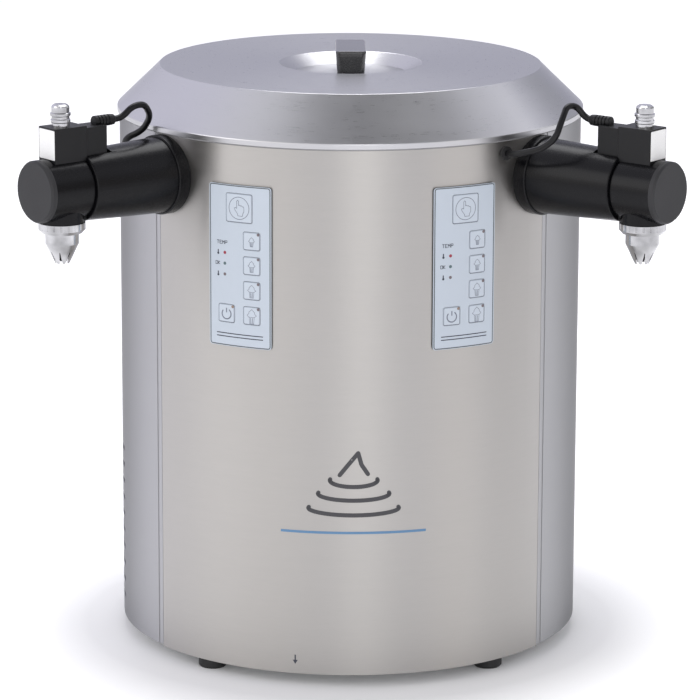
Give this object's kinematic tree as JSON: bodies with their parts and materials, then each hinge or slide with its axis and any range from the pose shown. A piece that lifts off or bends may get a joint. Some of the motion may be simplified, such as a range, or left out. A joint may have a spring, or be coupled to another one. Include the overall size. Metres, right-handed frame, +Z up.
{
  "type": "twin whipped-cream dispenser",
  "caption": "Round stainless-steel countertop machine that whips and portions cream through radial side arms with solenoid valves, star nozzles, key panels and a lift-off lid.",
  "frame": {"origin": "on the table, on the vertical axis of the round casing", "axes": "+Z up; the front between the two control panels faces -Y; +X to the viewer's right"},
  "size_m": [0.6062, 0.4697, 0.5674],
  "materials": {
    "brushed_steel": "satin",
    "inner_steel": "satin",
    "bright_steel": "polished",
    "arm_plastic": "satin",
    "black_plastic": "matte",
    "handle_plastic": "satin",
    "rubber_black": "matte",
    "panel_film": "satin",
    "key_film": "satin",
    "liner_plastic": "satin",
    "foam": "matte",
    "copper_tube": "satin",
    "fin_aluminium": "satin",
    "painted_black": "satin"
  },
  "bodies": {
    "machine": {"arm_sleeve_left": "arm_plastic", "arm_sleeve_right": "arm_plastic", "base_plate": "inner_steel", "can_lids": "inner_steel", "coil_nuts": "bright_steel", "compressor": "painted_black", "condenser": "fin_aluminium", "cooling_well": "inner_steel", "cream_can_left": "inner_steel", "cream_can_right": "inner_steel", "dispensing_head_left": "arm_plastic", "dispensing_head_right": "arm_plastic", "evaporator_coil": "copper_tube", "fan_frame": "black_plastic", "foot_screws": "bright_steel", "frame_posts": "inner_steel", "front_shell": "brushed_steel", "head_caps": "arm_plastic", "keypad_left": "panel_film", "keypad_right": "panel_film", "power_inlet": "black_plastic", "pump_housings": "inner_steel", "pump_motors": "painted_black", "rear_shell": "brushed_steel", "rubber_feet": "rubber_black", "shell_screws": "bright_steel", "suction_tubes": "liner_plastic", "texture_inserts": "liner_plastic", "top_deck": "inner_steel", "valve_coils": "black_plastic", "valve_lead_left": "rubber_black", "valve_lead_right": "rubber_black", "valve_plugs": "black_plastic", "wall_grommets": "rubber_black", "well_insulation": "foam"},
    "lid": {"lid_shell": "brushed_steel", "lid_handle": "handle_plastic", "lid_handle_screws": "bright_steel", "lid_liner": "liner_plastic"},
    "fan": {"fan_blade": "black_plastic"},
    "pump_rotor_left": {"pump_shaft_left": "inner_steel"},
    "plunger_left": {"valve_plunger_left": "inner_steel"},
    "nozzle_left": {"star_nozzle_left": "bright_steel"},
    "collar_left": {"nozzle_collar_left": "bright_steel"},
    "manual_key_left": {"key_manual_left": "key_film"},
    "portion_1_key_left": {"key_portion_1_left": "key_film"},
    "portion_2_key_left": {"key_portion_2_left": "key_film"},
    "portion_3_key_left": {"key_portion_3_left": "key_film"},
    "portion_4_key_left": {"key_portion_4_left": "key_film"},
    "power_key_left": {"key_power_left": "key_film"},
    "pump_rotor_right": {"pump_shaft_right": "inner_steel"},
    "plunger_right": {"valve_plunger_right": "inner_steel"},
    "nozzle_right": {"star_nozzle_right": "bright_steel"},
    "collar_right": {"nozzle_collar_right": "bright_steel"},
    "manual_key_right": {"key_manual_right": "key_film"},
    "portion_1_key_right": {"key_portion_1_right": "key_film"},
    "portion_2_key_right": {"key_portion_2_right": "key_film"},
    "portion_3_key_right": {"key_portion_3_right": "key_film"},
    "portion_4_key_right": {"key_portion_4_right": "key_film"},
    "power_key_right": {"key_power_right": "key_film"}
  },
  "joints": [
    {"name": "lid_lift", "type": "slide", "parent": "machine", "child": "lid", "axis": [0, 0, 1], "range_m": [0, 0.25]},
    {"name": "fan_spin", "type": "hinge", "parent": "machine", "child": "fan", "pos_m": [0.1084, 0.023, 0.1], "axis": [1, 0, 0], "continuous": true},
    {"name": "pump_spin_left", "type": "hinge", "parent": "machine", "child": "pump_rotor_left", "pos_m": [-0.15225, -0.12024, 0.469], "axis": [0, 0, 1], "continuous": true},
    {"name": "valve_lift_left", "type": "slide", "parent": "machine", "child": "plunger_left", "axis": [0, 0, 1], "range_m": [0, 0.004], "stiffness_N_per_m": 800, "springref_m": -0.004},
    {"name": "nozzle_drop_left", "type": "slide", "parent": "machine", "child": "nozzle_left", "axis": [0, 0, -1], "range_m": [0, 0.006]},
    {"name": "collar_turn_left", "type": "hinge", "parent": "nozzle_left", "child": "collar_left", "pos_m": [-0.26329, -0.20794, 0.433], "axis": [0, 0, -1], "range_deg": [0, 1080]},
    {"name": "press_manual_left", "type": "slide", "parent": "machine", "child": "manual_key_left", "axis": [0.4641, 0.8858, 0], "range_m": [0, 0.0005], "stiffness_N_per_m": 900},
    {"name": "press_portion_1_left", "type": "slide", "parent": "machine", "child": "portion_1_key_left", "axis": [0.4123, 0.911, 0], "range_m": [0, 0.0005], "stiffness_N_per_m": 900},
    {"name": "press_portion_2_left", "type": "slide", "parent": "machine", "child": "portion_2_key_left", "axis": [0.4123, 0.911, 0], "range_m": [0, 0.0005], "stiffness_N_per_m": 900},
    {"name": "press_portion_3_left", "type": "slide", "parent": "machine", "child": "portion_3_key_left", "axis": [0.4123, 0.911, 0], "range_m": [0, 0.0005], "stiffness_N_per_m": 900},
    {"name": "press_portion_4_left", "type": "slide", "parent": "machine", "child": "portion_4_key_left", "axis": [0.4123, 0.911, 0], "range_m": [0, 0.0005], "stiffness_N_per_m": 900},
    {"name": "press_power_left", "type": "slide", "parent": "machine", "child": "power_key_left", "axis": [0.5165, 0.8563, 0], "range_m": [0, 0.0005], "stiffness_N_per_m": 900},
    {"name": "pump_spin_right", "type": "hinge", "parent": "machine", "child": "pump_rotor_right", "pos_m": [0.15225, -0.12024, 0.469], "axis": [0, 0, 1], "continuous": true},
    {"name": "valve_lift_right", "type": "slide", "parent": "machine", "child": "plunger_right", "axis": [0, 0, 1], "range_m": [0, 0.004], "stiffness_N_per_m": 800, "springref_m": -0.004},
    {"name": "nozzle_drop_right", "type": "slide", "parent": "machine", "child": "nozzle_right", "axis": [0, 0, -1], "range_m": [0, 0.006]},
    {"name": "collar_turn_right", "type": "hinge", "parent": "nozzle_right", "child": "collar_right", "pos_m": [0.26329, -0.20794, 0.433], "axis": [0, 0, -1], "range_deg": [0, 1080]},
    {"name": "press_manual_right", "type": "slide", "parent": "machine", "child": "manual_key_right", "axis": [-0.4641, 0.8858, 0], "range_m": [0, 0.0005], "stiffness_N_per_m": 900},
    {"name": "press_portion_1_right", "type": "slide", "parent": "machine", "child": "portion_1_key_right", "axis": [-0.5143, 0.8576, 0], "range_m": [0, 0.0005], "stiffness_N_per_m": 900},
    {"name": "press_portion_2_right", "type": "slide", "parent": "machine", "child": "portion_2_key_right", "axis": [-0.5143, 0.8576, 0], "range_m": [0, 0.0005], "stiffness_N_per_m": 900},
    {"name": "press_portion_3_right", "type": "slide", "parent": "machine", "child": "portion_3_key_right", "axis": [-0.5143, 0.8576, 0], "range_m": [0, 0.0005], "stiffness_N_per_m": 900},
    {"name": "press_portion_4_right", "type": "slide", "parent": "machine", "child": "portion_4_key_right", "axis": [-0.5143, 0.8576, 0], "range_m": [0, 0.0005], "stiffness_N_per_m": 900},
    {"name": "press_power_right", "type": "slide", "parent": "machine", "child": "power_key_right", "axis": [-0.4099, 0.9121, 0], "range_m": [0, 0.0005], "stiffness_N_per_m": 900}
  ],
  "couplings": [
    {"joint": "nozzle_drop_left", "follows": "collar_turn_left", "m_per_rad": 0.00031831},
    {"joint": "nozzle_drop_right", "follows": "collar_turn_right", "m_per_rad": 0.00031831}
  ]
}
